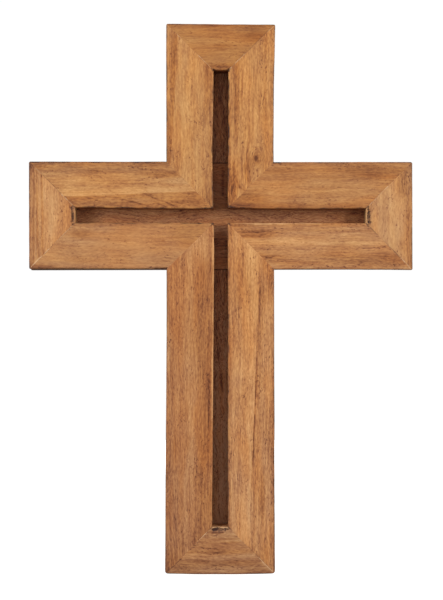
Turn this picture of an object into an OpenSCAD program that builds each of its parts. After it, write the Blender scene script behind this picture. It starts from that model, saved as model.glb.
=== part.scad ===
// Wall cross built up from two cross-lapped core boards and twelve mitred face boards.
// The face boards stand back from the centre lines, so they leave a deep narrow groove
// down the middle of every arm. The frame is +Z up, with the wall plane at y = 0 and the
// front towards -Y. The origin is the middle of the crossing, on the wall plane.

/* [Cross] */
// Overall height
cross_h = 300; // [260:1:400]
// Length of the upper, left and right arms, measured out from the crossing
arm_l = 75; // [70:0.5:95]
// Width of each face board
board_w = 25.4; // [24:0.1:32]
// Width of the groove in the front
groove_w = 8.2; // [5:0.1:14]

/* [Thicknesses] */
// Thickness of the face boards, which is also the depth of the groove
face_t = 12; // [10:0.5:18]
// Thickness of the core boards
core_t = 8; // [7:0.5:12]

/* [Eased edges] */
// Radius of the arris round the outside of the front
outer_arris = 1.2; // [0.5:0.1:2]
// Radius of the arris along the groove
groove_arris = 0.5; // [0.3:0.1:1.5]

/* [Brads] */
// Diameter of a brad's shank
brad_d = 1.2; // [0.9:0.1:1.4]
// Length of a brad
brad_l = 15; // [13:0.5:16]

/* [Keyhole hanger] */
// Distance from the top of the cross to the middle of the hanger plate
hanger_drop = 20.5; // [19:0.5:30]
// Diameter of the hole that a wall screw's head goes in by
entry_d = 9; // [8:0.1:9.5]
// Width of the slot that the wall screw's shank rides up
slot_w = 4.6; // [3.6:0.1:5.2]

/* [Hidden] */
$fn = 48;
half_groove = groove_w / 2;
half_arm = half_groove + board_w;                // half the width of every arm
top_reach = half_arm + arm_l;                    // centre to the end of a short arm
foot_reach = cross_h - top_reach;                // centre to the foot
front_y = -(core_t + face_t);

brad_edge = 6;                                   // from a brad to the arm's outer edge
brad_near = 9;                                   // from the crossing to the first brad
brad_far = 12;                                   // from the last brad to the groove's end
brad_head_d = 2.2;
brad_head_t = 0.7;
brad_set = 0.2;                                  // how deep the heads are punched in
brad_point = 1.5;

plate_h = 22;
plate_w = 2 * (half_arm - brad_edge) - 3;        // clear of the brads on both sides
plate_t = 1.5;
recess_gap = 0.3;                                // all round the plate in its recess
entry_z = -4;                                    // entry hole, from the plate's middle
slot_top_z = 5;                                  // round end of the slot, the same way
pocket_d = 10.6;                                 // room for the wall screw's head
pocket_t = 6.2;                                  // depth of that room from the wall plane
hanger_z = top_reach - hanger_drop;
screw_x = plate_w / 2 - 6;
screw_head_d = 5.8;
screw_head_t = 1.4;
screw_shank_d = 2.6;
screw_l = 12;
screw_point = 2.5;
screw_cross_w = 0.8;                             // blades of the cross recess in its head
screw_cross_l = 3;
screw_cross_t = 0.9;
through = 1;                                     // extra length of a cutter past a face

// Turn of each arm about the y axis, from pointing up
UP = 0;
RIGHT = 90;
DOWN = 180;
LEFT = -90;
ON_LEFT = -1;
ON_RIGHT = 1;

function reach(turn) = turn == DOWN ? foot_reach : top_reach;
function brads_per_side(turn) = turn == DOWN ? 3 : 2;

// Places where brads stand in one arm that points up: [x, z]
function side_brads(turn, side) =
    let (first = half_arm + brad_near,
         last = reach(turn) - board_w - brad_far,
         count = brads_per_side(turn))
    [for (i = [0 : count - 1])
        [side * (half_arm - brad_edge), first + i * (last - first) / (count - 1)]];
function end_brads(turn) =
    [for (side = [-1, 1]) [side * half_arm * 0.4, reach(turn) - brad_edge]];
function arm_brads(turn) =
    concat(side_brads(turn, ON_LEFT), side_brads(turn, ON_RIGHT), end_brads(turn));

// What rounds off a square corner at the origin whose solid side is -x and -y
module corner_cut(r) {
    translate([-r, -r]) difference() {
        square(r + through);
        circle(r);
    }
}

// Cross-section of a face board: x from the groove out, y from the core to the front
module board_section() {
    difference() {
        translate([0, front_y]) square([board_w, face_t]);
        translate([board_w, front_y]) mirror([0, 1]) corner_cut(outer_arris);
        translate([0, front_y]) rotate(180) corner_cut(groove_arris);
    }
}

// A slab of the face layer over an outline in the plane of the wall
module face_slab(outline) {
    translate([0, -core_t, 0]) rotate([90, 0, 0]) linear_extrude(face_t) polygon(outline);
}

// A brad at [x, z], head on the wall side
module brad(place) {
    translate([place[0], -brad_set, place[1]]) rotate([90, 0, 0]) {
        cylinder(d = brad_head_d, h = brad_head_t);
        cylinder(d = brad_d, h = brad_l - brad_point);
        translate([0, 0, brad_l - brad_point])
            cylinder(d1 = brad_d, d2 = 0.2, h = brad_point);
    }
}

// The hole a punched-in brad leaves
module brad_hole(place) {
    brad(place);
    translate([place[0], through, place[1]]) rotate([90, 0, 0])
        cylinder(d = brad_head_d, h = through + brad_set);
}

// Face board along one side of the arm, mitred into its neighbours at both ends
module side_board(turn, side) {
    end = reach(turn);
    color("peru") rotate([0, turn, 0]) difference() {
        mirror([side == ON_LEFT ? 1 : 0, 0, 0]) intersection() {
            translate([half_groove, 0, 0]) linear_extrude(end) board_section();
            face_slab([
                [half_groove, half_groove], [half_arm, half_arm],
                [half_arm, end], [half_groove, end - board_w]
            ]);
        }
        for (place = side_brads(turn, side)) brad(place);
        if (turn == UP) hanger_screw_bodies();
    }
}

// Face board across the end of the arm
module end_board(turn) {
    end = reach(turn);
    color("peru") rotate([0, turn, 0]) difference() {
        intersection() {
            translate([half_arm, 0, end - board_w]) rotate([0, -90, 0])
                linear_extrude(2 * half_arm) board_section();
            face_slab([
                [-half_groove, end - board_w], [half_groove, end - board_w],
                [half_arm, end], [-half_arm, end]
            ]);
        }
        for (place = end_brads(turn)) brad(place);
    }
}

module arm_brad_set(turn) {
    color("dimgray") rotate([0, turn, 0]) for (place = arm_brads(turn)) brad(place);
}

// Round-ended slab in the plane of the wall: length along x or z, from the wall plane in
module oblong(length, width, depth, upright = false) {
    rotate([90, upright ? 90 : 0, 0]) linear_extrude(depth) union() {
        square([length - width, width], center = true);
        for (side = [-1, 1]) translate([side * (length - width) / 2, 0]) circle(d = width);
    }
}

module screw_seat() {
    rotate([90, 0, 0]) cylinder(d1 = screw_head_d, d2 = screw_shank_d, h = screw_head_t);
}

// Recess for the plate, room for the wall screw's head behind it, and two screw holes
module hanger_cut() {
    translate([0, through, hanger_z])
        oblong(plate_w + 2 * recess_gap, plate_h + 2 * recess_gap, through + plate_t);
    translate([0, 0, hanger_z + (entry_z + slot_top_z) / 2])
        oblong(slot_top_z - entry_z + pocket_d, pocket_d, pocket_t, upright = true);
    hanger_screw_bodies();
}

module hanger_screw_bodies() {
    for (side = [-1, 1]) translate([side * screw_x, 0, hanger_z]) screw_body();
}

module screw_body() {
    screw_seat();
    rotate([90, 0, 0]) {
        cylinder(d = screw_shank_d, h = screw_l - screw_point);
        translate([0, 0, screw_l - screw_point])
            cylinder(d1 = screw_shank_d, d2 = 0.3, h = screw_point);
    }
}

module hanger_screw(side) {
    color("silver") translate([side * screw_x, 0, hanger_z]) difference() {
        screw_body();
        for (turn = [0, 90]) rotate([0, turn, 0])
            translate([-screw_cross_l / 2, -screw_cross_t, -screw_cross_w / 2])
                cube([screw_cross_l, screw_cross_t + through, screw_cross_w]);
    }
}

module keyhole_hanger_plate() {
    color("silver") translate([0, 0, hanger_z]) difference() {
        oblong(plate_w, plate_h, plate_t);
        translate([0, through, entry_z]) rotate([90, 0, 0])
            cylinder(d = entry_d, h = plate_t + 2 * through);
        translate([-slot_w / 2, -plate_t - through, entry_z])
            cube([slot_w, plate_t + 2 * through, slot_top_z - entry_z]);
        translate([0, through, slot_top_z]) rotate([90, 0, 0])
            cylinder(d = slot_w, h = plate_t + 2 * through);
        for (side = [-1, 1]) translate([side * screw_x, 0, 0]) {
            screw_seat();
            translate([0, through, 0]) rotate([90, 0, 0])
                cylinder(d = screw_shank_d, h = plate_t + 2 * through);
        }
    }
}

// Upright of the core, halved in front where the crossbar laps it
module core_upright() {
    color("saddlebrown") difference() {
        translate([-half_arm, -core_t, -foot_reach]) cube([2 * half_arm, core_t, cross_h]);
        translate([-half_arm - through, -core_t - through, -half_arm])
            cube([2 * (half_arm + through), core_t / 2 + through, 2 * half_arm]);
        hanger_cut();
        for (turn = [UP, DOWN]) rotate([0, turn, 0])
            for (place = arm_brads(turn)) brad_hole(place);
    }
}

// Crossbar of the core, halved behind where it laps the upright
module core_crossbar() {
    color("saddlebrown") difference() {
        translate([-top_reach, -core_t, -half_arm]) cube([2 * top_reach, core_t, 2 * half_arm]);
        translate([-half_arm, -core_t / 2, -half_arm - through])
            cube([2 * half_arm, core_t / 2 + through, 2 * (half_arm + through)]);
        for (turn = [LEFT, RIGHT]) rotate([0, turn, 0])
            for (place = arm_brads(turn)) brad_hole(place);
    }
}

core_upright();
core_crossbar();
side_board(UP, ON_LEFT);  // upper_arm_left_board
side_board(UP, ON_RIGHT);  // upper_arm_right_board
end_board(UP);  // upper_arm_end_board
side_board(LEFT, ON_RIGHT);  // left_arm_top_board
side_board(LEFT, ON_LEFT);  // left_arm_bottom_board
end_board(LEFT);  // left_arm_end_board
side_board(RIGHT, ON_LEFT);  // right_arm_top_board
side_board(RIGHT, ON_RIGHT);  // right_arm_bottom_board
end_board(RIGHT);  // right_arm_end_board
side_board(DOWN, ON_RIGHT);  // lower_arm_left_board
side_board(DOWN, ON_LEFT);  // lower_arm_right_board
end_board(DOWN);  // foot_board
arm_brad_set(UP);  // upper_arm_brads
arm_brad_set(LEFT);  // left_arm_brads
arm_brad_set(RIGHT);  // right_arm_brads
arm_brad_set(DOWN);  // lower_arm_brads
keyhole_hanger_plate();
hanger_screw(-1);  // hanger_screw_left
hanger_screw(1);  // hanger_screw_right
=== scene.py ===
"""Looks of the wooden wall cross: worn mitred boards, dark groove and hanger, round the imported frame.

Board coordinates are in millimetres: along the grain from the middle of the crossing, across the
board from the groove to the outer edge, and deep from the front face to the back.
"""

import math

import bpy
import numpy as np
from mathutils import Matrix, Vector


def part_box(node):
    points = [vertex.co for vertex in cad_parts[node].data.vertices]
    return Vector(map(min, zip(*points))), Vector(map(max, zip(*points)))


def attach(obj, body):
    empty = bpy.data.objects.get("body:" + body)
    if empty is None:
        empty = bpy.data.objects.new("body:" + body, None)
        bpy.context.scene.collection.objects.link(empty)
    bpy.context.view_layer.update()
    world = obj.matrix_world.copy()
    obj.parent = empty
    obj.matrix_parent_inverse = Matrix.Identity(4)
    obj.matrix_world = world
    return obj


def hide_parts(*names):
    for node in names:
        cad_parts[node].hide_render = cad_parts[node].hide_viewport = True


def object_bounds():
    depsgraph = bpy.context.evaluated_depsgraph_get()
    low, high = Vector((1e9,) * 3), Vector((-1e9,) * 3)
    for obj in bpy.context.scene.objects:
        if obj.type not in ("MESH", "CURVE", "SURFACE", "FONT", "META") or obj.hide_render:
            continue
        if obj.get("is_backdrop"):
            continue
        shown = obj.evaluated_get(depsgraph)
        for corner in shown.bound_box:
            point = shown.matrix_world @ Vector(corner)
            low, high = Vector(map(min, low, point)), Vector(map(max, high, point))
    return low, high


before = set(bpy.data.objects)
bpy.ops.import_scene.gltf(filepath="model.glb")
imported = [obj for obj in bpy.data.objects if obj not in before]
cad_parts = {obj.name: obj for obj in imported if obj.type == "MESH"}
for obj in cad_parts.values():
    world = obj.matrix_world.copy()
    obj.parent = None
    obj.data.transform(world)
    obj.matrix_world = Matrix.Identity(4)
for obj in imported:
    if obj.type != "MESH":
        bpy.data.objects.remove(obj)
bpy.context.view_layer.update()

MM = 0.001


# ---------------------------------------------------------------- sizes, all from the frame

def box_mm(node):
    low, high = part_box(node)
    return np.array(low) / MM, np.array(high) / MM


BOARD_LOW, BOARD_HIGH = box_mm("upper_arm_right_board")
HALF_GROOVE = BOARD_LOW[0]
HALF_ARM = BOARD_HIGH[0]
FRONT_Y = BOARD_LOW[1]
CORE_Y = BOARD_HIGH[1]
TOP_REACH = BOARD_HIGH[2]
FOOT_REACH = -box_mm("foot_board")[0][2]
BOARD_W = HALF_ARM - HALF_GROOVE
FACE_T = CORE_Y - FRONT_Y

ARM_TURN = {"upper": 0, "right": 90, "lower": 180, "left": -90}
REACH = {"upper": TOP_REACH, "right": TOP_REACH, "lower": FOOT_REACH, "left": TOP_REACH}

# Rounding of a face board's edges, and of the corners of the outline.
OUTER_ARRIS = 0.65
GROOVE_ARRIS = 0.45
BACK_EASE = 0.3
CORNER_R = 0.9
FOOT_CORNER_R = 1.5

# Distances between the points of a face board's mesh: close along the groove's lip, where it is
# chipped, then wider over the face, down the sides and across the hidden back.
LIP_W = 2
LIP_STEP = 0.15
FACE_STEP = 0.5
SIDE_STEP = 0.75
BACK_STEP = 4.0
ARRIS_STEPS = 5
LEAST_GAP = 0.2


# ---------------------------------------------------------------- small numeric tools

def smooth(low, high, x):
    """0 at low and 1 at high, with a soft start and end. low may be the larger of the two."""
    t = np.clip((x - low) / (high - low), 0, 1)
    return t * t * (3 - 2 * t)


HASH_PRIMES = (374761393, 668265263, 1442695041)
HASH_MIX = 1274126177
HASH_BITS = 0xFFFFFFFF


def hashed(ix, iy, iz, seed):
    """A fixed value from -1 to 1 for every cell of a lattice."""
    n = (ix * HASH_PRIMES[0] + iy * HASH_PRIMES[1] + iz * HASH_PRIMES[2] + seed * HASH_MIX) & HASH_BITS
    n = ((n ^ (n >> 13)) * HASH_MIX) & HASH_BITS
    return ((n ^ (n >> 16)) & 0xFFFF) / 32767.5 - 1.0


def noise(x, y, z=0.0, seed=0):
    """Smooth value noise from -1 to 1 on a unit lattice."""
    x, y, z = np.broadcast_arrays(*(np.asarray(v, float) for v in (x, y, z)))
    cells = [np.floor(v).astype(np.int64) for v in (x, y, z)]
    parts = [v - c for v, c in zip((x, y, z), cells)]
    parts = [p * p * (3 - 2 * p) for p in parts]
    total = np.zeros(x.shape)
    for i in (0, 1):
        for j in (0, 1):
            for k in (0, 1):
                weight = 1.0
                for p, corner in zip(parts, (i, j, k)):
                    weight = weight * (p if corner else 1 - p)
                total += weight * hashed(cells[0] + i, cells[1] + j, cells[2] + k, seed)
    return total


def srgb(red, green, blue):
    """A display colour from 0 to 255 as the linear colour that a shader takes."""
    return tuple(
        v / 255 / 12.92 if v <= 10 else ((v / 255 + 0.055) / 1.055) ** 2.4
        for v in (red, green, blue)
    ) + (1.0,)


# ---------------------------------------------------------------- hand-made irregularity

def height(x, z):
    """How far the sanded front lies below its plane."""
    return 0.05 * noise(x / 17, z / 17, seed=3) + 0.02 * noise(x / 5, z / 5, seed=4)


# How far the edges that run along an arm stray, in mm: at each distance across the arm, places
# along it and the amounts there. The upright's edges stray to the right, the crossbar's upwards.
UPRIGHT_EDGES = {
    -HALF_ARM: ([-196, -144, -92, -39, 37, 104], [-0.8, -0.5, 0.1, 0.35, 0.38, 0.4]),
    -HALF_GROOVE: ([-158, -117, -84, -52, -19, 23, 38, 55, 66, 75],
                   [-0.5, 0.08, 0.25, 0.58, 0.92, 0.2, 0.0, 0.4, 0.7, 0.75]),
    HALF_GROOVE: ([-150, -117, -84, -52, -19, 6, 23, 50, 75],
                  [0.0, 0.1, 0.15, 0.3, 0.2, 0.25, 0.4, 0.65, 0.7]),
    HALF_ARM: ([-196, -144, -39, 37, 70, 89, 104], [0.22, 0.12, 0.1, -0.12, 0.1, 0.6, 0.95]),
}
CROSSBAR_EDGES = {
    -HALF_ARM: ([-104, -80, -62, -36, 36, 62, 80, 104],
                [0.3, 0.35, 0.35, 0.2, -0.18, -0.23, -0.44, -0.65]),
    -HALF_GROOVE: ([-104, -30, 30, 104], [0.05, -0.05, -0.35, -0.65]),
    HALF_GROOVE: ([-80, -70, -55, -8, 5, 36, 60, 80],
                  [0.25, 0.2, -0.2, -0.6, -0.2, -0.7, -0.8, -0.55]),
    HALF_ARM: ([-104, -62, -36, 36, 80, 104], [0.0, -0.19, -0.15, -0.54, -0.55, -0.65]),
}

# How far the ends of the crossbar stray to the right: at both ends, where the grooves end, and at
# the crossing. The top slopes down by TOP_SLOPE from left to right, and the middle of the foot is
# FOOT_BOW lower than the CAD's.
GROOVE_END = TOP_REACH - BOARD_W
END_PLACES = [-TOP_REACH, -GROOVE_END, HALF_ARM, GROOVE_END, TOP_REACH]
END_AMOUNTS = [0.35, 0, 0, 0.65, 0.6]
TOP_SLOPE = 0.5
FOOT_BOW = 0.5


def stray(edges, along, across):
    """How far a point is moved, blended between the edges on both sides of it."""
    places = list(edges)
    amounts = [np.interp(along, *profile) for profile in edges.values()]
    moved = amounts[0]
    for k in range(1, len(places)):
        share = np.clip((across - places[k - 1]) / (places[k] - places[k - 1]), 0, 1)
        moved = moved + share * (amounts[k] - amounts[k - 1])
    return moved * smooth(2 * HALF_ARM, HALF_ARM, np.abs(across))


def bent(x, z):
    """Where a point of the cross lies once its outline is as uneven as hand work leaves it."""
    edge_x = smooth(HALF_GROOVE, HALF_ARM, np.abs(x))
    edge_z = smooth(HALF_GROOVE, HALF_ARM, np.abs(z))
    dx = 0.06 * noise(x / 30, z / 22, seed=1) + 0.04 * edge_x * noise(x / 4, z / 4, seed=5)
    dz = 0.06 * noise(x / 22, z / 30, seed=2) + 0.04 * edge_z * noise(x / 4, z / 4, seed=6)
    dx = dx + np.interp(x, END_PLACES, END_AMOUNTS)
    dz = dz - TOP_SLOPE * smooth(GROOVE_END, TOP_REACH, z) * smooth(-HALF_ARM, HALF_ARM, x)
    bow = 1 - 0.9 * np.clip(x / HALF_ARM, -1, 1) ** 2
    dz = dz - FOOT_BOW * bow * smooth(BOARD_W - FOOT_REACH, -FOOT_REACH, z)
    return x + dx + stray(UPRIGHT_EDGES, z, x), z + dz + stray(CROSSBAR_EDGES, x, z)


def round_corner(x, z, corner_x, corner_z, radius):
    """Rounds one outer corner of the outline, easing the points inside the square it fills."""
    px = radius - np.abs(corner_x - x)
    pz = radius - np.abs(corner_z - z)
    near = (px > 0) & (pz > 0) & (np.abs(corner_x - x) <= radius) & (np.abs(corner_z - z) <= radius)
    far = np.maximum(np.hypot(px, pz), 1e-9)
    share = np.where(near, np.maximum(px, pz) / far, 1.0)
    new_x = corner_x - np.sign(corner_x) * (radius - px * share)
    new_z = corner_z - np.sign(corner_z) * (radius - pz * share)
    return np.where(near, new_x, x), np.where(near, new_z, z)


def outline_corners():
    """Place and radius of the two corners at the end of every arm."""
    for arm, turn in ARM_TURN.items():
        for side in (-1, 1):
            radius = FOOT_CORNER_R if arm == "lower" else CORNER_R
            yield *turned(turn, side * HALF_ARM, REACH[arm]), radius


def turned(turn, x, z):
    """A point of an arm that points up, turned with its arm."""
    c, s = round(math.cos(math.radians(turn))), round(math.sin(math.radians(turn)))
    return x * c + z * s, -x * s + z * c


def placed(turn, x, z, share=1.0):
    """A point of an arm that points up, put where the finished cross has it. A smaller share
    leaves it nearer to its true place."""
    x, z = turned(turn, np.asarray(x, float), np.asarray(z, float))
    for corner_x, corner_z, radius in outline_corners():
        x, z = round_corner(x, z, corner_x, corner_z, radius)
    bent_x, bent_z = bent(x, z)
    return x + share * (bent_x - x), z + share * (bent_z - z)


# ---------------------------------------------------------------- meshes

def finish_mesh(name, points, faces, fields=None, sharp=38):
    """A mesh object in the row frame from points in millimetres, with named fields at its points."""
    mesh = bpy.data.meshes.new(name)
    mesh.from_pydata((np.asarray(points) * MM).tolist(), [], faces)
    for key, values in (fields or {}).items():
        values = np.asarray(values, np.float32).ravel()
        vector = len(values) == 3 * len(points)
        layer = mesh.attributes.new(key, "FLOAT_VECTOR" if vector else "FLOAT", "POINT")
        layer.data.foreach_set("vector" if vector else "value", values)
    mesh.update()
    mesh.validate()
    mesh.shade_smooth()
    mesh.set_sharp_from_angle(angle=math.radians(sharp))
    piece = bpy.data.objects.new(name, mesh)
    bpy.context.scene.collection.objects.link(piece)
    return piece


def section():
    """Points round a face board's section: across from the groove, and deep from the front."""
    quarter = np.linspace(0, math.pi / 2, ARRIS_STEPS + 1)[1:-1]
    points = [(u, 0.0) for u in np.arange(GROOVE_ARRIS, LIP_W, LIP_STEP)]
    points += [(u, 0.0) for u in np.arange(LIP_W, BOARD_W - OUTER_ARRIS - LEAST_GAP, FACE_STEP)]
    points += [(BOARD_W - OUTER_ARRIS, 0.0)]
    points += [
        (BOARD_W - OUTER_ARRIS * (1 - math.sin(a)), OUTER_ARRIS * (1 - math.cos(a))) for a in quarter
    ]
    side_end = FACE_T - BACK_EASE - LEAST_GAP
    points += [(BOARD_W, d) for d in np.arange(OUTER_ARRIS, side_end, SIDE_STEP)]
    points += [(BOARD_W, FACE_T - BACK_EASE), (BOARD_W - BACK_EASE, FACE_T)]
    points += [(u, FACE_T) for u in np.arange(BOARD_W - BACK_STEP, 1, -BACK_STEP)]
    points += [(0.0, d) for d in np.arange(FACE_T, GROOVE_ARRIS + LEAST_GAP, -SIDE_STEP)]
    points += [(0.0, GROOVE_ARRIS)]
    points += [
        (GROOVE_ARRIS * (1 - math.sin(a)), GROOVE_ARRIS * (1 - math.cos(a))) for a in quarter[::-1]
    ]
    return np.array(points)


MITRE_STEPS = (0, 0.12, 0.25, 0.45)
MITRE_W = 0.7


def stations(start, stop):
    """Rows of places along the grain, close together at both mitres."""
    count = int((stop - start).max() / FACE_STEP)
    rows = [start + step for step in MITRE_STEPS]
    rows += [start + MITRE_W + t * (stop - start - 2 * MITRE_W) for t in np.linspace(0, 1, count)]
    rows += [stop - step for step in MITRE_STEPS[::-1]]
    return np.array(rows)


def tube_faces(rows, around):
    """Faces of a closed tube, from rows of points that go round it."""
    faces = []
    for i in range(rows - 1):
        for j in range(around):
            k = (j + 1) % around
            faces.append((i * around + j, i * around + k, (i + 1) * around + k, (i + 1) * around + j))
    faces.append(tuple(range(around))[::-1])
    faces.append(tuple((rows - 1) * around + j for j in range(around)))
    return faces


def turned_over(faces):
    """The same faces, looking the other way."""
    return [face[::-1] for face in faces]


# ---------------------------------------------------------------- figure of the wood

def band(s, u, at, half, tone, lean=0.0, start=None, stop=None, cut=0, seed=0):
    """A lighter or darker band along the grain, with its middle at u and its lean per 100 mm.
    cut 1 or -1 ends it sharply on its outer or its groove side."""
    middle = at + lean * s / 100 + 0.35 * noise(s / 14, at, seed=seed + 40)
    v = u - middle
    shape = np.exp(-((v / half) ** 2))
    if cut:
        shape = np.exp(-((np.minimum(v * cut, 0) / half) ** 2)) * smooth(0.35, -0.15, v * cut)
    if start is not None:
        shape = shape * smooth(start - 5, start + 5, s)
    if stop is not None:
        shape = shape * smooth(stop + 5, stop - 5, s)
    return tone * shape


def spot(s, u, at_s, at_u, half_s, half_u, tone):
    """A soft oval patch."""
    return tone * np.exp(-(((s - at_s) / half_s) ** 2) - ((u - at_u) / half_u) ** 2)


def stroke(s, u, from_s, from_u, to_s, to_u, half, tone):
    """A slightly wavy line from one place to another."""
    run_s, run_u = to_s - from_s, to_u - from_u
    share = ((s - from_s) * run_s + (u - from_u) * run_u) / (run_s**2 + run_u**2)
    share = np.clip(share, 0, 1)
    sway = 0.3 * noise(s / 5, u / 5, seed=60)
    far = np.hypot(s - from_s - share * run_s, u - from_u - share * run_u + sway)
    return tone * np.exp(-((far / half) ** 2))


def round_knot(s, u, at_s, at_u, radius):
    """Grain lines that part and run round a knot."""
    v = u - at_u
    far = (0.55 * (s - at_s)) ** 2 + v**2
    return at_u + v * (1 - radius**2 / (far + 0.35 * radius**2))


def chipped(s, u, chips, seed):
    """How bare of surface a point is, and how deep, where chips with ragged edges have come away."""
    bare, depth = np.zeros(s.shape), np.zeros(s.shape)
    ragged = 0.35 * noise(s / 0.7, u / 0.7, seed=seed) + 0.25 * noise(s / 0.25, u / 0.3, seed=seed + 1)
    for at_s, at_u, half_s, half_u, deep in chips:
        far = np.sqrt(((s - at_s) / half_s) ** 2 + ((u - at_u) / half_u) ** 2)
        share = smooth(1.15, 0.55, far + ragged)
        bare, depth = np.maximum(bare, share), np.maximum(depth, deep * share)
    return bare, depth


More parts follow.
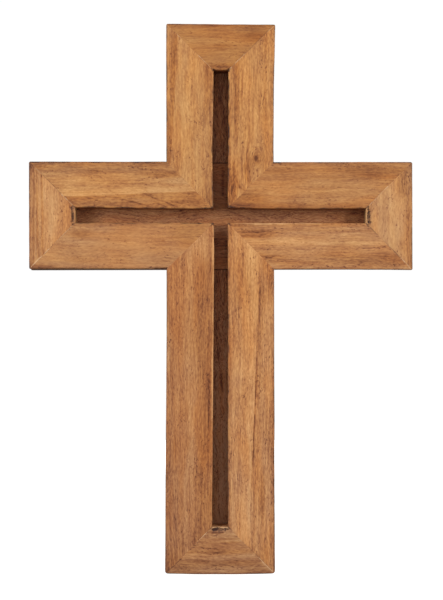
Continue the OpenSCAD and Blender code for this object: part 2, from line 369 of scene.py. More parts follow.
# Every face board: its arm, which side of it the board is on (0 is across the end), and its figure.
# Bands are (across, half width, tone, lean, start, stop, cut), spots (along, across, half lengths,
# tone), glow the same with warmth for tone, strokes (from, to, half width, tone) and chips (along,
# across, half lengths, depth). Tones run from about -1, dark, to 1, light. bold is the strength of
# the grain, edge, lip and seam are how dark the outer edge, the groove's lip and the mitres are, and
# wall is the painted shade on the groove's wall: how dark it gets, and from and to which depth.
# Pale strokes that run along the groove's arris are painted highlights.
BOARDS = {
    "upper_arm_left_board": dict(
        arm="upper", side=-1, bold=1.0, seed=11, edge=0.7, lip=1.0, seam=0.1,
        tint=(1.06, 1.05, 0.92),
        bands=[(24.9, 3.6, -0.9, -5.6, None, None, -1), (13.0, 5.5, 0.45), (8.5, 1.0, 0.25),
               (3.6, 1.5, -0.5, 0, 50), (1.2, 0.8, -0.3)],
        spots=[(62, 10.3, 1.4, 0.5, -0.8), (88, 22.9, 0.35, 0.35, -1.8), (45, 4.6, 9, 0.8, 0.3),
               (93, 17, 9, 8, -0.5), (9, 3.0, 6, 4.0, -0.5), (96, 20.5, 11, 4, 0.55)],
        chips=[(79, 0.0, 0.8, 0.9, 0.5), (4.3, 0.2, 1.1, 0.8, 0.1)]),
    "upper_arm_right_board": dict(
        arm="upper", side=1, bold=1.15, seed=12, edge=0.6, lip=1.5,
        tint=(1.06, 1.0, 0.82), knot=(31.5, 15.6, 2.6),
        bands=[(4.6, 1.9, -0.65, 0, 42), (8.6, 1.8, 0.4), (0.6, 1.0, -0.6, 0, None, 60),
               (14.0, 3.0, 0.2), (20.5, 1.4, -0.25), (24.0, 0.8, -0.3)],
        strokes=[(29, 3.0, 21.5, 3.6, 0.5, -1.2), (21.5, 3.6, 15.5, 6.4, 0.5, -1.4),
                 (15.5, 6.4, 13.6, 9.6, 0.5, -1.2), (28, 9.0, 20, 10.5, 0.5, -0.8),
                 (20, 10.5, 17.5, 13.5, 0.5, -0.7), (36.0, 13.6, 37.5, 16.0, 0.4, -0.8)],
        spots=[(31.5, 15.6, 1.5, 1.2, -2.8), (31.0, 16.0, 4.5, 3.6, -0.8),
               (27, 11.0, 6, 3.0, -0.7), (86, 19.0, 0.7, 0.5, -0.9), (13, 2.6, 9, 2.2, -1.6),
               (69, 7.5, 10, 0.8, -0.8)],
        chips=[(79, 0.0, 0.9, 0.8, 0.5), (4.3, 0.2, 1.1, 0.8, 0.1)]),
    "upper_arm_end_board": dict(
        # wall here is painted shade on the groove's end wall, which faces down.
        arm="upper", side=0, bold=0.75, seed=13, wall=(0.85, 0.4, 1.6), edge=0.8, lip=0.7,
        tint=(0.91, 0.82, 0.61),
        bands=[(24.6, 1.4, -0.55), (9.0, 4.0, 0.3), (2.0, 2.0, -0.15)],
        spots=[(20, 19.0, 8, 4.0, -0.75), (1.5, 13.5, 8, 1.2, -0.6), (0, 11.3, 3, 0.7, -0.6),
               (-16, 17.0, 8, 5.0, 0.5), (-6, 24.4, 5, 0.7, -0.9), (1.5, 1.8, 6, 1.8, -1.3)],
        chips=[(-4.0, 0.0, 1.1, 0.9, 0.5), (4.2, 0.0, 1.1, 0.8, 0.5)]),
    "left_arm_top_board": dict(
        arm="left", side=1, bold=0.95, seed=14, edge=1.1, lip=1.1,
        tint=(1.01, 1.02, 0.97),
        bands=[(25.4, 3.6, -1.0), (14.5, 2.2, 0.3), (10.3, 4.0, 1.3, -5.2, None, None, -1),
               (10.1, 3.4, -0.8, -5.2, None, None, 1), (1.0, 1.6, -0.6)],
        spots=[(68, 20.5, 3, 1.2, -0.7), (44, 6.0, 7, 0.7, -0.5), (52, 3.0, 6, 0.6, -0.4),
               (36, 8.5, 5, 0.8, -0.4), (19, 3.6, 12, 2.2, -1.3), (30, 18.0, 12, 2.0, -0.9),
               (84, 12, 5, 4, 0.5), (100, 24, 6, 2, -1.0)],
        strokes=[(41.5, 8.0, 23.5, 0.6, 0.45, -1.2), (57, 6.0, 39, 1.4, 0.35, -1.0),
                 (49, 4.6, 44, 2.6, 0.4, -0.9), (36, 3.4, 31, 1.6, 0.4, -0.9),
                 (72, 5.0, 60, 3.0, 0.5, -0.6)],
        chips=[(4.3, 0.2, 1.1, 0.8, 0.1)]),
    "left_arm_bottom_board": dict(
        arm="left", side=-1, bold=0.72, seed=15, edge=0.7, lip=0.8,
        tint=(1.04, 1.05, 1.04),
        bands=[(0.8, 1.5, -0.5, 0, 30), (15.0, 5.0, 0.2), (8.0, 3.0, 0.1, 0, None, 60),
               (24.8, 1.0, -0.4)],
        spots=[(31.4, 9.8, 0.8, 0.45, -1.3), (61, 9.3, 0.4, 0.7, -0.9), (76, 20, 7, 3, -0.35),
               (24, 8.0, 4, 0.5, -0.5), (34, 21, 8, 3, -0.3), (17, 7, 9, 7, -0.6),
               (75.5, 6.5, 6, 2.6, -1.0), (98, 24.6, 8, 1.6, -1.4)],
        glow=[(14, 5, 12, 9, 1.0)],
        chips=[(4.3, 0.2, 1.1, 0.8, 0.1), (31, 25.3, 6, 0.7, 0.25)]),
    "left_arm_end_board": dict(
        arm="left", side=0, bold=0.95, seed=16, edge=0.7, lip=0.3,
        tint=(1.09, 1.09, 1.08),
        bands=[(22.8, 0.5, -1.2), (20.7, 0.5, -1.1, 1.5), (18.0, 0.6, -1.0, 2.5),
               (24.8, 1.2, -0.7), (12.5, 4.5, 0.35), (2.0, 1.8, -0.4), (6.5, 1.0, -0.15)],
        spots=[(-20, 19, 6, 1.2, -0.3), (-28, 24.5, 3, 2, -1.4), (28, 24, 3, 3, -1.2)],
        chips=[(0.0, 1.35, 4.8, 0.62, 0.4), (3.6, 1.7, 1.1, 0.7, 0.4)],
        # The first stroke is a painted highlight on the groove's arris at its blind end; the second is a
        # pale line in the outer mitre.
        strokes=[(-4.0, 0.2, 4.4, 0.2, 0.35, 2.0), (-23.6, 19.4, -28.4, 24.2, 0.45, 2.6)],
        # wall here is painted shade deep on the groove's end wall.
        wall=(0.75, 3.0, 6.0)),
    "right_arm_top_board": dict(
        arm="right", side=-1, bold=0.85, seed=17, edge=0.6, lip=1.0, seam=0.15,
        tint=(0.96, 0.90, 0.78),
        bands=[(24.6, 1.6, -0.5), (21.0, 1.6, -0.3), (11.0, 4.5, 0.35), (1.2, 1.8, -0.65),
               (16.5, 1.2, -0.2)],
        spots=[(82, 20, 14, 4.0, -1.0), (30, 19.5, 8, 2.0, -0.3), (58, 16.8, 10, 0.8, -0.4),
               (8, 2.0, 7, 2.6, -1.3), (17, 6, 10, 6, -0.6)],
        strokes=[(14.5, 8.6, 30, 8.2, 0.35, 0.7)], glow=[(14, 5, 14, 7, 0.5)],
        chips=[(5.6, 0.2, 2.8, 1.2, 0.1), (31, 25.4, 3, 0.8, 0.3)]),
    "right_arm_bottom_board": dict(
        arm="right", side=1, bold=0.95, seed=18, edge=0.4, lip=0.2,
        tint=(1.04, 1.04, 1.04),
        bands=[(0.8, 1.2, -0.6), (4.2, 0.7, -0.5), (11.2, 3.4, 0.8, 0.6, None, None, 1),
               (20.5, 4.5, -0.5), (18.2, 0.7, -0.4)],
        spots=[(84, 21, 14, 4.5, -0.5), (24, 6.5, 3, 0.4, -0.7), (19, 6.4, 11, 2.2, -1.6),
               (8, 1.2, 10, 1.3, -1.2), (43, 17.5, 9, 3.2, 0.9)],
        # The first stroke, pale along the groove's arris, is paler worn wood and a painted highlight.
        strokes=[(8, 0.25, 55, 0.25, 0.4, 1.6), (12, 5.0, 27, 4.4, 0.4, -1.2)],
        chips=[(4.3, 0.2, 1.1, 0.8, 0.1)]),
    "right_arm_end_board": dict(
        arm="right", side=0, bold=0.85, seed=19, edge=0.6, lip=0.3,
        tint=(1.12, 1.19, 1.24),
        bands=[(1.5, 2.0, -0.5), (15.0, 3.5, 0.35), (23.8, 2.2, -0.7)],
        spots=[(16, 19.5, 6, 1.8, -0.4), (-18, 20, 8, 5.0, -1.1), (0, 24, 22, 1.5, -0.4),
               (-28, 24, 3, 3, -1.0), (27, 24.5, 4, 1.6, -0.9)],
        chips=[(0.0, 1.5, 4.9, 0.9, 0.5), (3.6, 2.0, 1.0, 1.0, 0.4)],
        # The stroke is a painted highlight on the groove's arris at its blind end, and wall is painted
        # shade deep on the end wall.
        strokes=[(-4.4, 0.2, 4.2, 0.2, 0.35, 1.8)], wall=(0.75, 3.0, 6.0)),
    "lower_arm_left_board": dict(
        arm="lower", side=1, bold=1.15, seed=20, edge=0.5, lip=0.1,
        tint=(0.95, 0.88, 0.86),
        bands=[(12.6, 2.4, 0.6), (5.0, 3.6, -0.6), (1.2, 1.4, -0.35), (24.4, 1.2, -0.25, 0, 100),
               (19.0, 3.0, 0.15), (22.5, 0.8, -0.2, 0, None, 90)],
        spots=[(62, 7.6, 9, 1.2, -0.7), (56, 9.5, 4, 0.5, -0.6), (118, 4.5, 14, 1.6, -0.4),
               (125, 20.5, 8, 0.6, -0.5), (160, 8.0, 8, 2.0, 0.2), (40, 2.5, 6, 1.2, 0.3),
               (160, 14, 45, 14, -0.3), (57, 11, 7, 4.5, 0.6), (96, 2.4, 13, 1.5, -0.9),
               (124, 13.3, 8, 1.5, -0.8), (16, 6, 10, 6, 1.1),
               (190, 20.5, 9, 6, -0.7)],
        glow=[(54, 5.5, 24, 5.5, 1.1)],
        # The pale stroke along the groove's arris is paler worn wood and a painted highlight of the lit
        # arris.
        strokes=[(6, 0.25, 112, 0.25, 0.55, 2.4)],
        chips=[(4.3, 0.2, 1.1, 0.8, 0.1)]),
    "lower_arm_right_board": dict(
        arm="lower", side=-1, bold=1.2, seed=21, edge=0.7, lip=0.8,
        tint=(1.1, 1.08, 1.08),
        bands=[(18.7, 5.0, 0.65, -4.2, None, None, 1), (19.2, 0.45, -0.9, -4.4, 34, 150),
               (20.9, 1.3, -0.35, -4.0), (0.6, 1.0, -0.5), (24.8, 1.6, -0.5), (4.0, 1.0, 0.25)],
        spots=[(41, 11.0, 9, 1.2, -1.0), (21, 13.0, 6, 3.0, 1.1), (14, 8.0, 4, 2.4, 0.4),
               (36, 23.6, 9, 1.6, -1.5), (155, 18.5, 14, 1.5, -1.2), (120, 22.5, 18, 2.0, -0.35),
               (62, 3.0, 6, 0.5, -0.5), (8, 2.5, 5, 3.5, -0.6),
               (187, 20, 10, 5, -0.8)],
        glow=[(34, 9, 22, 9, 0.7)],
        strokes=[(78, 15.6, 99, 15.0, 0.32, -1.8), (109, 14.8, 123, 14.0, 0.32, -1.8),
                 (129, 13.5, 136, 13.2, 0.32, -1.8), (42, 17.4, 60, 16.8, 0.30, -1.2)],
        chips=[(4.3, 0.2, 1.1, 0.8, 0.1)]),
    "foot_board": dict(
        arm="lower", side=0, bold=1.12, seed=22, edge=0.6, lip=0.3,
        tint=(0.9, 0.93, 1.1),
        bands=[(3.8, 2.0, 0.2), (9.8, 1.8, 0.5), (13.4, 1.2, -0.5), (16.5, 1.5, 0.2),
               (20.5, 3.0, -0.35), (24.8, 1.0, -0.5)],
        spots=[(-8, 18.5, 9, 0.8, -0.6), (-5, 6.5, 7, 0.5, -0.8), (14, 8.0, 6, 0.5, -0.7),
               (-6, 8.3, 7, 0.5, -0.9), (1, 13.6, 5, 1.2, -1.6), (-3, 20.3, 8, 0.7, -0.9),
               (20, 21, 8, 3.0, -0.7), (-12, 5.0, 5, 0.5, -0.7), (4, 2.8, 4, 1.0, -0.8),
               (-20, 24.4, 7, 1.4, -1.5), (12, 18.5, 6, 0.6, -0.8)],
        # The first stroke is a painted highlight on the groove's arris at its blind end.
        strokes=[(-4.2, 0.3, 4.2, 0.3, 0.45, 2.6), (-1.5, 3.2, 4.0, 3.4, 0.4, -2.4),
                 (-22.8, 18.6, -28.2, 24.0, 0.5, 2.8), (20.5, 16.5, 28.5, 24.5, 0.32, -1.8)],
        chips=[(1.0, 1.5, 4.0, 1.15, 0.35), (-3.0, 1.2, 1.4, 0.6, 0.3)]),
}


# Painted shade on the groove's walls of boards that give none of their own: how dark, from and to which
# depth.
PLAIN_WALL = (0.35, 0.4, 1.6)
PLAIN_SEAM = 0.5


def board_fields(s, u, d, look):
    """Grain coordinates, tone with painted highlights along some arrises, wear with painted shade on
    the groove's wall, warmth with painted cool light toward the foot, and depth of chips at every
    point of a board.
    """
    seed = look["seed"]
    arc = 260 + 40 * noise(seed, 1, seed=seed)
    lean = 9 * noise(seed, 2, seed=seed)
    curl = 0.9 * noise(s / 38, seed, seed=seed) + 0.35 * noise(s / 11, u / 9, seed=seed + 1)
    grown = u + curl + lean * (u - BOARD_W / 2) * s / 6000
    if "knot" in look:
        grown = round_knot(s, grown, *look["knot"])
    rings = np.hypot(grown + arc / 3, d + arc) - arc
    grain = np.stack([s + 3.0 * noise(s / 20, u / 6, seed=seed + 2), rings, d + 0.3 * grown], -1)

    tone = np.zeros(s.shape)
    for number, marks in enumerate(look["bands"]):
        at, half, strength, *rest = marks
        names = ("lean", "start", "stop", "cut")
        tone = tone + band(s, u, at, half, strength, seed=seed + number, **dict(zip(names, rest)))
    for marks in look["spots"]:
        tone = tone + spot(s, u, *marks)
    for marks in look.get("strokes", ()):
        tone = tone + stroke(s, u, *marks)

    mottle = noise(s / 9, u / 5, seed=seed + 9)
    weathered = smooth(BOARD_W - 4.5, BOARD_W - 0.5, u) * (0.55 + 0.45 * mottle)
    warmth = 1.3 * np.clip(-tone, 0, 0.8) + 0.25 * mottle - weathered
    for marks in look.get("glow", ()):
        warmth = warmth + spot(s, u, *marks)
    # Painted light: the lower arm is warmer near the crossing and cooler toward the foot, as if cool
    # light came from below.
    if look["arm"] == "lower":
        warmth = warmth + 0.3 - 0.55 * smooth(40, 180, s)

    front = np.exp(-d / 1.5)
    bare, depth = chipped(s, u, look["chips"], seed + 5)
    patches = noise(s / 11, seed, seed=seed + 6) + 0.4 * noise(s / 2.5, u / 1.5, seed=seed + 8)
    outer = smooth(BOARD_W - 1.2, BOARD_W - 0.1, u) * (0.2 + smooth(-0.4, 0.6, patches))
    lip = smooth(1.0, 0.15, u) * (0.5 + 0.8 * noise(s / 4, 0, seed=seed + 7))
    wear_and_shade = np.maximum(look["edge"] * outer * front, look["lip"] * lip * np.exp(-d / 0.8))
    # Painted shade on the groove's wall, darker from from_d to to_d deep.
    wall_shade, from_d, to_d = look.get("wall", PLAIN_WALL)
    wall_shade = wall_shade * smooth(0.2, 0.05, u) * smooth(from_d, to_d, d)
    wear_and_shade = np.clip(np.maximum(wear_and_shade, wall_shade) + 1.1 * bare * front, 0, 1)
    return grain, tone, wear_and_shade, np.clip(warmth, -1, 1), depth


# How much of the outline's unevenness is gone where a board's outer side meets the straight core.
FLUSH = 0.85


def face_board(name, look):
    """One face board: a section swept between two mitres, with worn arrises and chips."""
    reach = REACH[look["arm"]]
    ring = section()
    u, d = ring[:, 0], ring[:, 1]
    if look["side"]:
        start, stop = HALF_GROOVE + u, reach - BOARD_W + u
    else:
        start, stop = -(HALF_GROOVE + u), HALF_GROOVE + u
    s = stations(start, stop)
    u, d = np.broadcast_to(u, s.shape), np.broadcast_to(d, s.shape)
    grain, tone, wear_and_shade, warmth, depth = board_fields(s, u, d, look)

    mitre = np.minimum(s - start, stop - s) / math.sqrt(2)
    front = np.exp(-d / 0.4)
    eased = 0.08 * smooth(0.28, 0.0, mitre) * front
    sunk = depth * np.exp(-d / (1.5 * depth + 0.25))
    gap = smooth(0.45, 0.1, mitre) * (s > start + 0.5 * (stop - start)) * front
    gap = gap * smooth(-0.2, 0.7, noise(u / 4, look["seed"], seed=50)) * look.get("seam", PLAIN_SEAM)
    tip = smooth(0.5, 0.1, mitre) * smooth(2.2, 0.4, u) * front
    wear_and_shade = np.maximum(wear_and_shade, np.maximum(gap, 0.9 * tip))
    if look["side"]:
        x, z = look["side"] * (HALF_GROOVE + u), s
    else:
        x, z = s, reach - BOARD_W + u
    flush = smooth(2, FACE_T, d) * smooth(BOARD_W / 2, BOARD_W, u)
    x, z = placed(ARM_TURN[look["arm"]], x, z, 1 - FLUSH * flush)
    y = FRONT_Y + d + eased + sunk + height(x, z) * np.exp(-d / 3)
    points = np.stack([x, y, z], -1).reshape(-1, 3)
    faces = tube_faces(*s.shape)
    facing = np.cross([x[1, 0] - x[0, 0], z[1, 0] - z[0, 0]], [x[0, 1] - x[0, 0], z[0, 1] - z[0, 0]])
    if facing > 0:
        faces = turned_over(faces)
    fields = {"grain": grain.reshape(-1, 3), "tone": tone, "wear_and_shade": wear_and_shade, "warmth": warmth}
    piece = finish_mesh("worn_" + name, points, faces, fields)
    material = wood(
        "oiled_" + name, field("grain"), evenly(look["tint"] + (1.0,)), look["seed"], look["bold"],
        field("tone"), field("wear_and_shade"), field("warmth"))
    piece.data.materials.append(material)
    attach(piece, "root")
    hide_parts(name)
    return piece


# ---------------------------------------------------------------- materials

def add(tree, kind, inputs=None, **settings):
    """A new node. Its inputs are linked to sockets or set to values."""
    node = tree.nodes.new(kind)
    for key, value in settings.items():
        setattr(node, key, value)
    for key, value in (inputs or {}).items():
        if isinstance(value, bpy.types.NodeSocket):
            tree.links.new(value, node.inputs[key])
        else:
            node.inputs[key].default_value = value
    return node


def calc(tree, operation, a, b, clamp=False):
    return add(tree, "ShaderNodeMath", {0: a, 1: b}, operation=operation, use_clamp=clamp).outputs[0]


def ramp(tree, factor, stops):
    node = add(tree, "ShaderNodeValToRGB", {0: factor})
    steps = node.color_ramp.elements
    while len(steps) < len(stops):
        steps.new(0.5)
    for step, (at, colour) in zip(steps, stops):
        step.position = at
        step.color = colour
    return node.outputs[0]


def between(tree, value, low, high, out_low=0.0, out_high=1.0):
    """Carries low to high over to out_low to out_high, and stays there beyond them."""
    inputs = {0: value, 1: low, 2: high, 3: out_low, 4: out_high}
    return add(tree, "ShaderNodeMapRange", inputs, clamp=True).outputs[0]


def mix(tree, factor, a, b, blend="MIX"):
    node = tree.nodes.new("ShaderNodeMix")
    node.data_type = "RGBA"
    node.blend_type = blend
    for key, value in ((0, factor), (6, a), (7, b)):
        if isinstance(value, bpy.types.NodeSocket):
            tree.links.new(value, node.inputs[key])
        else:
            node.inputs[key].default_value = value
    return node.outputs[2]


def evenly(value):
    """Stands in for a field with one value all over."""
    return lambda tree: value


def field(name):
    """Reads one of the fields that board_fields leaves at a mesh's points."""
    output = 1 if name == "grain" else 2
    return lambda tree: add(tree, "ShaderNodeAttribute", attribute_name=name).outputs[output]


def streaks(tree, grain, length, width, detail, seed, distortion=0.0):
    """Noise drawn out along the grain: about length by width in millimetres."""
    shift = (seed * 7.3 % 50, seed * 3.1 % 50, seed * 5.7 % 50)
    scaled = add(
        tree, "ShaderNodeMapping",
        {"Vector": grain, "Location": shift, "Scale": (1 / length, 1 / width, 1 / width)},
    )
    settings = {"Vector": scaled.outputs[0], "Scale": 1.0, "Detail": detail, "Distortion": distortion}
    return add(tree, "ShaderNodeTexNoise", settings).outputs[0]


WOOD_TONES = [
    (0.00, srgb(108, 64, 40)),
    (0.16, srgb(143, 91, 58)),
    (0.34, srgb(168, 113, 71)),
    (0.50, srgb(186, 130, 81)),
    (0.66, srgb(199, 144, 90)),
    (0.84, srgb(213, 159, 102)),
    (1.00, srgb(224, 172, 114)),
]
# Dark colour for worn edges, chips and dark joints, and for the painted shade on the groove's walls.
DARK_WEAR_AND_SHADE = srgb(62, 34, 26)
MIDDLE_TONE = 0.53


def shader(name, roughness, specular):
    material = bpy.data.materials.new(name)
    material.use_nodes = True
    tree = material.node_tree
    surface = tree.nodes["Principled BSDF"]
    surface.inputs["Specular IOR Level"].default_value = specular
    if isinstance(roughness, float):
        surface.inputs["Roughness"].default_value = roughness
    return material, tree, surface


def weighted(tree, terms, base):
    """base plus every value times its weight."""
    total = base
    for value, weight in terms:
        total = calc(tree, "ADD", calc(tree, "MULTIPLY", value, weight), total)
    return total


def wood(name, grain_of, tint_of, seed, bold, tone_of, wear_and_shade_of, warmth_of):
    """Oiled open-pored hardwood, in coordinates that follow the grain; bold scales its streaks."""
    material, tree, surface = shader(name, None, 0.35)
    grain, tone, wear_and_shade, warmth = (read(tree) for read in (grain_of, tone_of, wear_and_shade_of, warmth_of))

    broad = streaks(tree, grain, 70, 5.0, 3.0, seed)
    middle = streaks(tree, grain, 42, 1.2, 3.0, seed + 1, 0.1)
    fibres = streaks(tree, grain, 14, 0.38, 3.0, seed + 2)
    clouds = streaks(tree, grain, 12, 7.0, 2.0, seed + 3)
    stipple = streaks(tree, grain, 2.2, 0.36, 2.0, seed + 8)
    dashes = streaks(tree, grain, 1.6, 0.38, 1.0, seed + 4)
    crowd = between(tree, streaks(tree, grain, 14, 2.2, 2.0, seed + 5), 0.38, 0.66)
    pores = calc(tree, "MULTIPLY", between(tree, dashes, 0.60, 0.72), crowd)

    noises = [
        (broad, 0.36),
        (middle, 0.55 * bold),
        (fibres, 0.68 * bold),
        (stipple, 0.78 * bold),
        (clouds, 0.30),
    ]
    average = 0.5 * sum(weight for _, weight in noises)
    marks = [(tone, 0.22), (pores, -0.45 * bold)]
    lightness = weighted(tree, noises + marks, MIDDLE_TONE - average)
    colour = ramp(tree, lightness, WOOD_TONES)
    redness = between(tree, streaks(tree, grain, 40, 4.0, 2.0, seed + 6), 0.42, 0.68)
    stained = mix(tree, redness, (0.99, 1.02, 1.06, 1.0), (1.02, 0.94, 0.82, 1.0))
    colour = mix(tree, 1.0, colour, stained, "MULTIPLY")
    warmed = mix(tree, between(tree, warmth, -1, 1), (1.0, 1.05, 1.26, 1.0), (1.0, 0.92, 0.76, 1.0))
    colour = mix(tree, 1.0, colour, warmed, "MULTIPLY")
    colour = mix(tree, 1.0, colour, tint_of(tree), "MULTIPLY")
    ragged = between(tree, streaks(tree, grain, 2.0, 0.9, 3.0, seed + 7), 0.3, 0.7, 0.45, 1.25)
    # Mixes in the dark colour by the wear field: real wear, chips and dark joints, and on the face
    # boards also painted shade on the groove's walls.
    colour = mix(tree, calc(tree, "MULTIPLY", wear_and_shade, ragged, clamp=True), colour, DARK_WEAR_AND_SHADE)
    tree.links.new(colour, surface.inputs["Base Color"])

    rough = weighted(tree, [(middle, 0.18), (pores, 0.18), (fibres, 0.10)], 0.44)
    tree.links.new(rough, surface.inputs["Roughness"])
    relief = weighted(tree, [(fibres, 0.5), (middle, 0.3), (pores, -0.9)], 0.0)
    bump = add(tree, "ShaderNodeBump", {"Height": relief, "Strength": 0.55, "Distance": 0.00012})
    tree.links.new(bump.outputs[0], surface.inputs["Normal"])
    return material


# ---------------------------------------------------------------- core, hanger and brads

def core_grain(along):
    """Grain coordinates of a core board, from where a point lies: along is "X" or "Z"."""

    def build(tree):
        place = add(tree, "ShaderNodeTexCoord").outputs["Object"]
        warp = add(tree, "ShaderNodeTexNoise", {"Vector": place, "Scale": 35.0, "Detail": 2.0})
        bend = add(tree, "ShaderNodeVectorMath", {0: warp.outputs[1], 1: (0.5, 0.5, 0.5)},
                   operation="SUBTRACT").outputs[0]
        bend = add(tree, "ShaderNodeVectorMath", {0: bend, "Scale": 0.012}, operation="SCALE").outputs[0]
        moved = add(tree, "ShaderNodeVectorMath", {0: place, 1: bend}, operation="ADD").outputs[0]
        in_mm = add(tree, "ShaderNodeVectorMath", {0: moved, "Scale": 1 / MM}, operation="SCALE")
        parts = add(tree, "ShaderNodeSeparateXYZ", {0: in_mm.outputs[0]}).outputs
        order = {"X": (0, 2, 1), "Z": (2, 0, 1)}[along]
        inputs = {i: parts[axis] for i, axis in enumerate(order)}
        return add(tree, "ShaderNodeCombineXYZ", inputs).outputs[0]

    return build


def axis_of(tree, axis):
    """A point's x, y or z in metres, for axis 0, 1 or 2."""
    place = add(tree, "ShaderNodeTexCoord").outputs["Object"]
    return add(tree, "ShaderNodeSeparateXYZ", {0: place}).outputs[axis]


def on_floor(tree):
    """1 on the front face of the core, where the groove shows it, and 0 on its sides and back."""
    front = (CORE_Y + 0.3) * MM
    return between(tree, axis_of(tree, 1), front, front + 0.5 * MM, 1.0, 0.0)


CORE_TINT = (0.93, 0.90, 0.87, 1.0)
# Distances from the middle of the crossbar, in metres, over which its open part gives way to the
# part that crosses the upright's groove, where painted light makes it paler and cooler.
CROSSED = (0.0045, 0.0075)


def core_tint(floor_tint, crossed_tint=None):
    """CORE_TINT on the sides and back, floor_tint in the grooves, and crossed_tint, a cooler painted
    light, on the crossbar where it lies across the upright's shaded groove."""

    def build(tree):
        floor = floor_tint
        if crossed_tint:
            off_centre = calc(tree, "ABSOLUTE", axis_of(tree, 2), 0.0)
            floor = mix(tree, between(tree, off_centre, *CROSSED), floor, crossed_tint)
        return mix(tree, on_floor(tree), CORE_TINT, floor)

    return build


# Streaks and pits in the floors of the grooves, and a painted pool of light at the crossing: from and to
# (x, z) in mm, half width, tone.
UPRIGHT_MARKS = [
    (-2.6, -58, -1.4, -74, 0.40, -1.2), (-1.4, -74, 1.2, -97, 0.50, -1.8),
    (3.3, 65.4, 3.3, 66.2, 0.35, -3.0),
    (-2.3, 44.0, -2.3, 45.2, 0.4, -2.4), (1.0, -120, 2.6, -148, 0.5, -1.0),
    (0.3, -106, -0.2, -127, 0.4, -1.2), (-2.4, -127, -1.1, -146, 0.45, -1.3),
    (-1.9, -146, -0.7, -157, 0.4, -1.3), (-2.8, -84, -2.5, -104, 0.4, -1.0),
    (2.4, -34, 2.0, -52, 0.45, -1.2), (-0.6, 62, -0.2, 74, 0.4, -1.2),
    (2.2, 34, 2.5, 46, 0.4, -1.2),
]
CROSSBAR_MARKS = [
    (-78, 2.9, -61.5, 0.7, 0.4, -0.8), (-61.5, 0.7, -51.5, -3.2, 0.4, -0.8),
    (-67.5, 3.9, -55.5, 1.7, 0.4, -0.8), (-55.5, 1.7, -38.5, -0.6, 0.4, -0.8),
    (-22, 2.8, -13, 0.2, 0.45, -1.0), (5.5, 2.8, 16.5, -1.3, 0.45, -1.1),
    (22, 2.3, 27.5, -2.1, 0.5, -1.0), (44, 1.4, 62, 0.2, 0.5, -0.8),
    # The pale mark at the middle of the crossing is painted light, where light comes in along both
    # grooves.
    (-4, 0.0, 4, 0.0, 3.5, 0.5), (1.7, 12.5, 1.7, 26.5, 0.9, -2.0),
    (-5, -13.2, 5, -14.6, 1.9, -1.7), (-5, -18.6, 5, -18.0, 0.5, -1.2),
    (-5, -22.4, 5, -22.8, 0.4, -1.0),
]


def streak(tree, x, z, mark):
    """The tone that one mark gives a point, soft across and rounded at both ends."""
    from_x, from_z, to_x, to_z, half, tone = mark
    run_x, run_z = to_x - from_x, to_z - from_z
    length = run_x**2 + run_z**2
    share = weighted(tree, [(x, run_x / length / MM), (z, run_z / length / MM)],
                     -(from_x * run_x + from_z * run_z) / length)
    share = calc(tree, "MULTIPLY", share, 1.0, clamp=True)
    off_x = weighted(tree, [(x, 1 / half / MM), (share, -run_x / half)], -from_x / half)
    off_z = weighted(tree, [(z, 1 / half / MM), (share, -run_z / half)], -from_z / half)
    far = calc(tree, "ADD", calc(tree, "MULTIPLY", off_x, off_x), calc(tree, "MULTIPLY", off_z, off_z))
    return calc(tree, "MULTIPLY", calc(tree, "EXPONENT", calc(tree, "MULTIPLY", far, -1.0), 0.0), tone)


def marked(tree, tone, x, z, marks):
    """tone with all the marks added, in the groove only."""
    for mark in marks:
        tone = calc(tree, "ADD", tone, streak(tree, x, z, mark))
    return calc(tree, "MULTIPLY", tone, on_floor(tree))


def upright_tone(tree):
    """Paler toward the foot, which is painted light from below, with a few dark marks in the groove."""
    x, z = axis_of(tree, 0), axis_of(tree, 2)
    tone = between(tree, z, -0.03, -0.13, 0.0, 1.8)
    return marked(tree, tone, x, z, UPRIGHT_MARKS)


def crossbar_tone(tree):
    """Darker to the right, with painted shade at the groove's blind ends, and paler, as painted
    light, where the upright's shaded groove crosses it."""
    x, z = axis_of(tree, 0), axis_of(tree, 2)
    tone = between(tree, x, -0.055, 0.03, 0.4, -0.25)
    # Painted shade at both blind ends of the crossbar's groove.
    tone = calc(tree, "ADD", tone, between(tree, x, -0.078, -0.069, -1.0, 0.0))
    tone = calc(tree, "ADD", tone, between(tree, x, 0.071, 0.079, 0.0, -0.9))
    # Painted light: paler where the crossbar lies in the upright's shaded groove.
    crossed = between(tree, calc(tree, "ABSOLUTE", z, 0.0), *CROSSED, 0.0, 0.9)
    return marked(tree, calc(tree, "ADD", tone, crossed), x, z, CROSSBAR_MARKS)


def lap_line(tree):
    """Dark line where the edges of the lapped crossbar meet the upright."""
    from_edge = calc(tree, "SUBTRACT", calc(tree, "ABSOLUTE", axis_of(tree, 2), 0.0), HALF_ARM * MM)
    line = between(tree, calc(tree, "ABSOLUTE", from_edge, 0.0), 0.15 * MM, 0.45 * MM, 1.0, 0.0)
    return calc(tree, "MULTIPLY", line, on_floor(tree))


def soften(node, width_mm, segments=2):
    """Welds the frame's split corners, merges its flat triangles and eases its edges."""
    weld = node.modifiers.new("weld", "WELD")
    weld.merge_threshold = 1e-6
    flat = node.modifiers.new("flat", "DECIMATE")
    flat.decimate_type = "DISSOLVE"
    flat.angle_limit = math.radians(0.5)
    bevel = node.modifiers.new("eased", "BEVEL")
    bevel.width = width_mm * MM
    bevel.segments = segments
    bevel.limit_method = "ANGLE"
    bevel.angle_limit = math.radians(50)
    bevel.use_clamp_overlap = True
    node.modifiers.new("joined", "WELD").merge_threshold = 1e-6
    node.modifiers.new("shading", "WEIGHTED_NORMAL").keep_sharp = True


def repaint(node, material):
    """Puts the material in every slot of a CAD node."""
    for slot in node.material_slots:
        slot.material = material


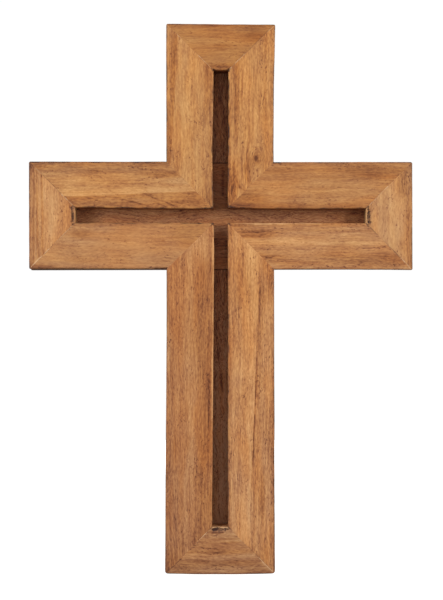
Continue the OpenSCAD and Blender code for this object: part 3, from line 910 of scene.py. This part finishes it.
def metal(name, colour, roughness, scratch):
    """Plated or drawn steel: fine scratches and dull patches."""
    material, tree, surface = shader(name, None, 0.5)
    surface.inputs["Metallic"].default_value = 1.0
    place = add(tree, "ShaderNodeTexCoord").outputs["Object"]
    scaled = add(tree, "ShaderNodeMapping", {"Vector": place, "Scale": scratch})
    lines = add(tree, "ShaderNodeTexNoise", {"Vector": scaled.outputs[0], "Scale": 1.0, "Detail": 4.0})
    patches = add(tree, "ShaderNodeTexNoise", {"Vector": place, "Scale": 220.0, "Detail": 4.0})
    share = between(tree, patches.outputs[0], 0.35, 0.68)
    light = tuple(min(1.0, v * 1.25) for v in colour[:3]) + (1.0,)
    dull = tuple(v * 0.62 for v in colour[:3]) + (1.0,)
    shade = mix(tree, share, dull, light)
    shade = mix(tree, between(tree, lines.outputs[0], 0.3, 0.7, 0.0, 0.35), shade, dull)
    tree.links.new(shade, surface.inputs["Base Color"])
    rough = weighted(tree, [(share, 0.16), (lines.outputs[0], 0.12)], roughness)
    tree.links.new(rough, surface.inputs["Roughness"])
    bump = add(tree, "ShaderNodeBump",
               {"Height": lines.outputs[0], "Strength": 0.25, "Distance": 0.00005})
    tree.links.new(bump.outputs[0], surface.inputs["Normal"])
    return material


def finish_cad_nodes():
    """Eased edges and materials for the core boards, the hanger and the brads."""
    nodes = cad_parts
    soften(nodes["core_upright"], 0.25)
    soften(nodes["core_crossbar"], 0.25)
    upright_wood = wood(
        "oiled_core_upright", core_grain("Z"), core_tint((1.0, 1.19, 1.76, 1.0)), 31, 2.1,
        upright_tone, lap_line, evenly(0.0))
    # The second tint, cooler, is painted light on the crossbar where it lies in the upright's shaded
    # groove.
    crossbar_wood = wood(
        "oiled_core_crossbar", core_grain("X"),
        core_tint((0.84, 0.76, 0.80, 1.0), (0.89, 0.93, 1.25, 1.0)), 32, 1.5,
        crossbar_tone, lap_line, evenly(0.0))
    repaint(nodes["core_upright"], upright_wood)
    repaint(nodes["core_crossbar"], crossbar_wood)
    soften(nodes["keyhole_hanger_plate"], 0.2)
    repaint(nodes["keyhole_hanger_plate"],
            metal("zinc_plate", srgb(196, 196, 192), 0.30, (600, 9000, 9000)))
    for side in ("left", "right"):
        soften(nodes["hanger_screw_" + side], 0.12)
        repaint(nodes["hanger_screw_" + side],
                metal("zinc_screw_" + side, srgb(188, 186, 176), 0.26, (5000, 5000, 5000)))
    for arm in ARM_TURN:
        repaint(nodes[arm + "_arm_brads"],
                metal("drawn_wire_" + arm, srgb(128, 124, 118), 0.38, (4000, 4000, 900)))


# ---------------------------------------------------------------- glue in the mitres

# Stretches of each mitre where glue or filler shows: arm, side, from and to as shares of the way
# from the groove to the outer corner, width in mm. The crossing's mitres are the arm "crossing".
GLUE = [
    ("upper", -1, 0.02, 0.34, 0.34), ("upper", -1, 0.68, 0.78, 0.26),
    ("upper", 1, 0.02, 0.38, 0.40), ("upper", 1, 0.82, 0.97, 0.34),
    ("left", 1, 0.03, 0.32, 0.40), ("left", 1, 0.66, 0.90, 0.30),
    ("left", -1, 0.03, 0.70, 0.28), ("left", -1, 0.70, 0.97, 0.44),
    ("right", -1, 0.04, 0.50, 0.36), ("right", 1, 0.74, 0.96, 0.40),
    ("lower", 1, 0.05, 0.34, 0.36), ("lower", -1, 0.64, 0.98, 0.46),
]


def glue_bead(arm, side, start, stop, width):
    """Points and faces of one stretch of glue, lying in the mitre's hairline."""
    points_apart = 0.35
    reach = REACH[arm]
    count = int(abs(stop - start) * BOARD_W * math.sqrt(2) / points_apart) + 2
    t = np.linspace(start, stop, count)
    x = side * (HALF_GROOVE + t * BOARD_W)
    z = reach - BOARD_W + t * BOARD_W
    half = width / 2 * smooth(0, 0.08, np.minimum(t - start, stop - t) + 0.02)
    half = half * (0.75 + 0.5 * noise(t * 40, side, seed=len(arm) + 70))
    rows = []
    for offset, deep in ((-1, 0.05), (-0.4, 0.01), (0.4, 0.01), (1, 0.05), (0.5, 0.5), (-0.5, 0.5)):
        across = offset * half / math.sqrt(2)
        px, pz = placed(ARM_TURN[arm], x - side * across, z + across)
        rows.append(np.stack([px, FRONT_Y + deep + height(px, pz), pz], -1))
    points = np.stack(rows, 1)
    faces = tube_faces(count, len(rows))
    return points.reshape(-1, 3), turned_over(faces) if side > 0 else faces


def mitre_glue():
    """All the stretches of glue, as one piece."""
    points, faces, first = [], [], 0
    for stretch in GLUE:
        more, quads = glue_bead(*stretch)
        points.append(more)
        faces += [tuple(first + v for v in face) for face in quads]
        first += len(more)
    piece = finish_mesh("mitre_glue_lines", np.concatenate(points), faces, sharp=60)
    material, tree, surface = shader("dried_glue", 0.55, 0.4)
    place = add(tree, "ShaderNodeTexCoord").outputs["Object"]
    cloud = add(tree, "ShaderNodeTexNoise", {"Vector": place, "Scale": 260.0, "Detail": 3.0})
    colour = ramp(tree, cloud.outputs[0], [
        (0.30, srgb(150, 98, 60)), (0.46, srgb(205, 158, 112)), (0.72, srgb(232, 198, 158))])
    tree.links.new(colour, surface.inputs["Base Color"])
    piece.data.materials.append(material)
    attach(piece, "root")


# ---------------------------------------------------------------- stage, lights and camera

def aimed(thing, place, target):
    """Puts a light in its place and turns it to the target."""
    thing.location = place
    direction = np.array(target, float) - np.array(place, float)
    flat = math.hypot(direction[0], direction[1])
    thing.rotation_euler = (
        math.pi / 2 + math.atan2(direction[2], flat), 0, math.atan2(-direction[0], direction[1]))
    bpy.context.scene.collection.objects.link(thing)


def softbox(name, place, power, width, tall, target):
    light = bpy.data.lights.new(name, "AREA")
    light.shape = "RECTANGLE"
    light.size = width
    light.size_y = tall
    light.energy = power
    aimed(bpy.data.objects.new(name, light), place, target)


AMBIENT = 0.165
KEY_POWER = 22.7
FILL_POWER = 10


def surroundings():
    """A white studio: two tall soft lights in front, at the sides, and a fill behind."""
    scene = bpy.context.scene
    scene.view_settings.view_transform = "Standard"
    world = bpy.data.worlds.new("studio")
    scene.world = world
    world.use_nodes = True
    tree = world.node_tree
    back = tree.nodes["Background"]
    seen = add(tree, "ShaderNodeLightPath").outputs["Is Camera Ray"]
    back.inputs["Color"].default_value = (1, 1, 1, 1)
    tree.links.new(between(tree, seen, 0, 1, AMBIENT, 1.02), back.inputs["Strength"])
    for side in (-1, 1):
        softbox("key", (side * 1.25, -1.15, 0.62), KEY_POWER, 0.5, 1.7, (0, 0, 0.62))
    softbox("back_fill", (0.35, 1.2, 0.55), FILL_POWER, 0.9, 0.7, (0, 0, -0.045))


# Metres from the cross's front, and the height of the frame and its middle (x, z) in that plane.
CAMERA_DISTANCE = 0.800
FRAME_HEIGHT = 0.3273
VIEW_CENTRE = (0.0008, -0.0463)
LONG_SENSOR = 36
ROLL = 0.12


def camera():
    """A long lens straight in front of the cross, turned by ROLL degrees."""
    data = bpy.data.cameras.new("camera")
    data.sensor_width = LONG_SENSOR
    data.lens = LONG_SENSOR * CAMERA_DISTANCE / FRAME_HEIGHT
    thing = bpy.data.objects.new("camera", data)
    thing.location = (VIEW_CENTRE[0], FRONT_Y * MM - CAMERA_DISTANCE, VIEW_CENTRE[1])
    thing.rotation_mode = "XYZ"
    thing.rotation_euler = (math.pi / 2, math.radians(ROLL), 0)
    bpy.context.scene.collection.objects.link(thing)
    bpy.context.scene.camera = thing


def floor():
    """A pale round floor at the foot of the cross, bright enough to melt into the background."""
    rings, around, radius = 8, 96, 0.75
    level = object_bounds()[0][2]
    points = [(0.0, 0.0, level)]
    for i in range(1, rings + 1):
        for j in range(around):
            a = 2 * math.pi * j / around
            r = radius * i / rings
            points.append((r * math.cos(a), r * math.sin(a), level))
    faces = [(0, 1 + j, 1 + (j + 1) % around) for j in range(around)]
    for i in range(rings - 1):
        for j in range(around):
            a, b = 1 + i * around + j, 1 + i * around + (j + 1) % around
            faces.append((a, a + around, b + around, b))
    mesh = bpy.data.meshes.new("floor")
    mesh.from_pydata(points, [], faces)
    piece = bpy.data.objects.new("floor", mesh)
    bpy.context.scene.collection.objects.link(piece)
    material, tree, surface = shader("pale_floor", 0.8, 0.2)
    surface.inputs["Base Color"].default_value = (0.6, 0.6, 0.6, 1)
    surface.inputs["Emission Color"].default_value = (1, 1, 1, 1)
    surface.inputs["Emission Strength"].default_value = 0.88
    mesh.materials.append(material)
    piece.visible_diffuse = False
    piece.visible_glossy = False
    piece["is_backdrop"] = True


for board_name, board_look in BOARDS.items():
    face_board(board_name, board_look)
mitre_glue()
finish_cad_nodes()
floor()
surroundings()
camera()
